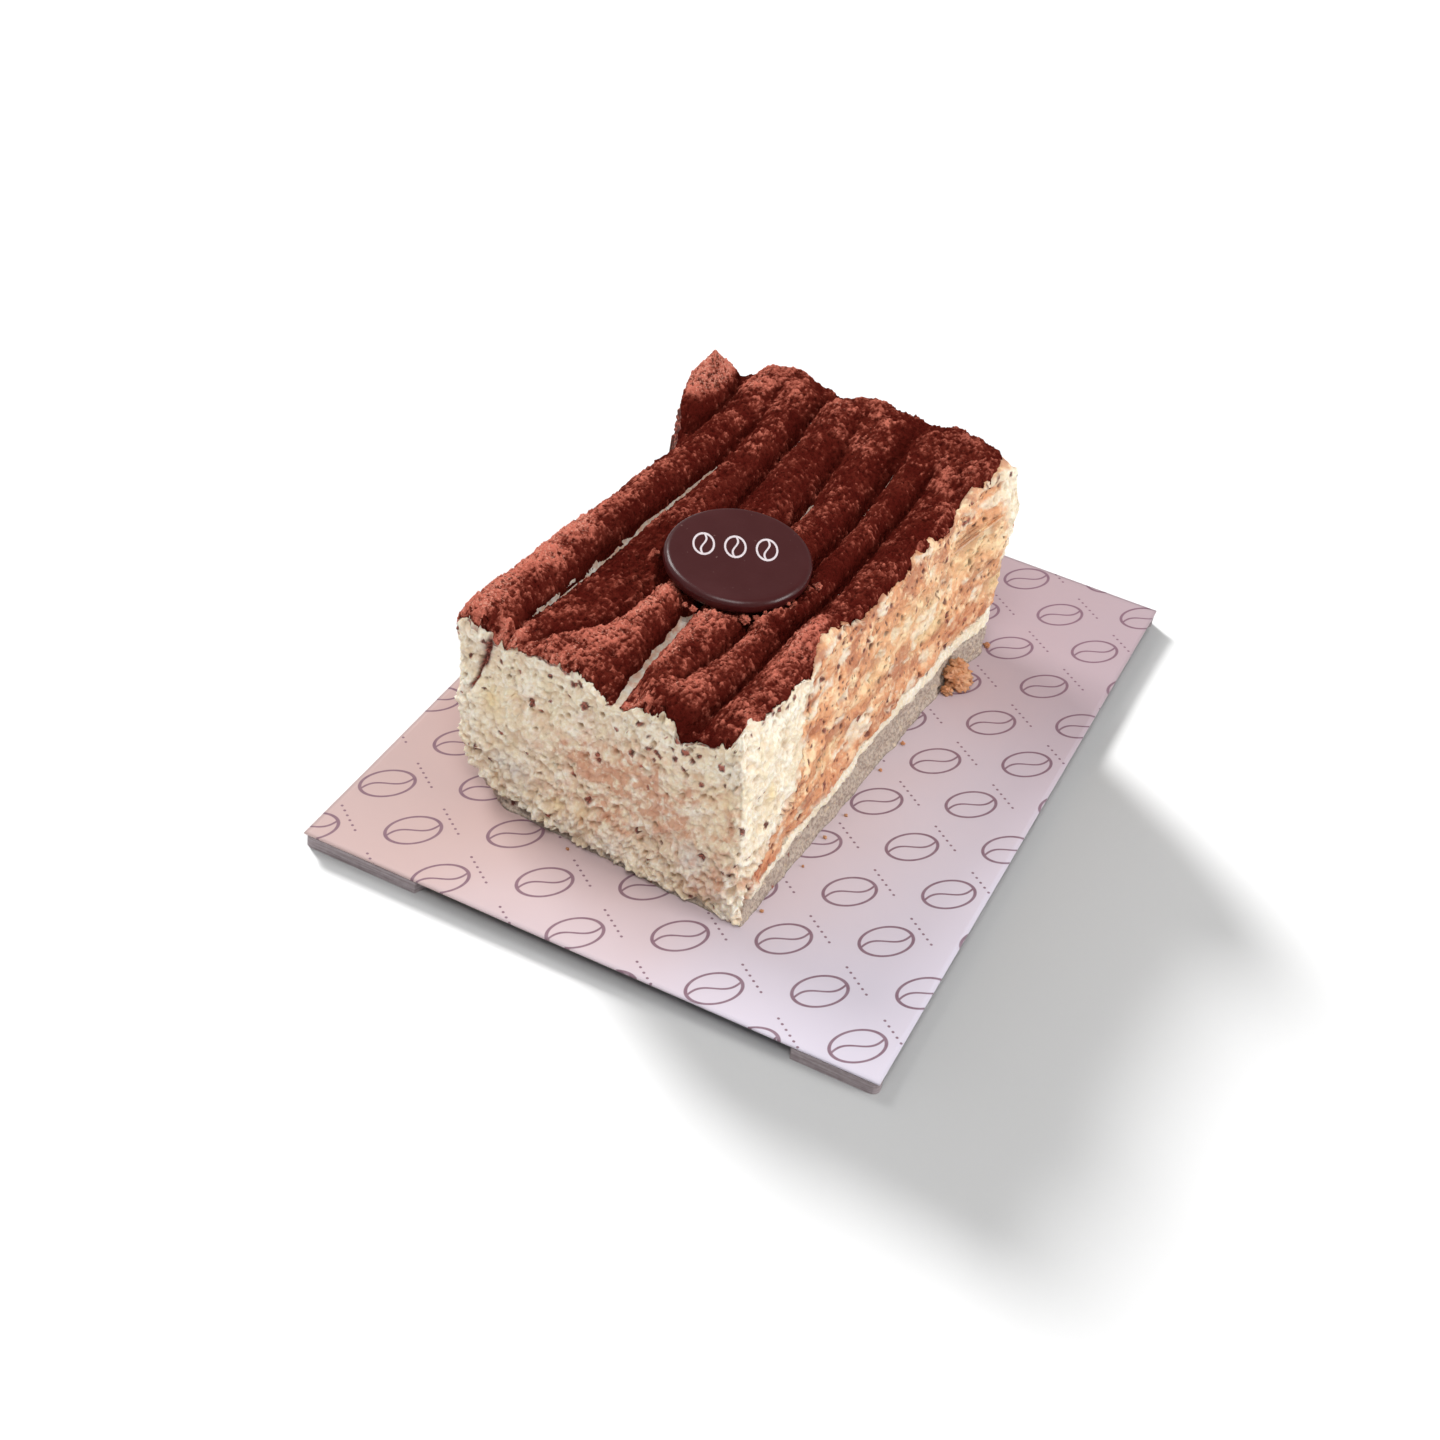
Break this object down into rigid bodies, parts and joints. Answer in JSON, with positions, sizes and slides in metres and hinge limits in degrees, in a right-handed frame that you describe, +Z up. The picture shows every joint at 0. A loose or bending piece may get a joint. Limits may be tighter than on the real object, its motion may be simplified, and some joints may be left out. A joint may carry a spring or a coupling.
{
  "type": "tiramisu portion",
  "caption": "Oblong tiramisu portion: piped cream ropes under cocoa, sponge and cream layers at the cut side and a chocolate disc on top, on a printed paper sheet over grey board.",
  "frame": {"origin": "centre of the board's underside, which is the bottom centre of the bounding box", "axes": "+Z up, -Y the front edge of the sheet with the cream face of the cake above it, +X to the right with the cut side that shows the layers"},
  "size_m": [0.105, 0.1484, 0.0488],
  "materials": {
    "grey_board": "matt pressed grey board",
    "printed_paper": "smooth pale lilac paper with a thin plum print",
    "base_sponge": "moist tan-grey crumb",
    "cream": "whipped mascarpone cream with fine pores",
    "soaked_sponge": "open orange-tan sponge soaked with coffee",
    "cocoa": "dry grainy cocoa powder",
    "dark_chocolate": "satin dark chocolate"
  },
  "bodies": {
    "root": {"card_board": "grey_board", "paper_sheet": "printed_paper", "base_sponge": "base_sponge", "cream_lower": "cream", "sponge_middle": "soaked_sponge", "cream_top": "cream", "cocoa_dusting": "cocoa", "chocolate_disc": "dark_chocolate"}
  },
  "joints": []
}
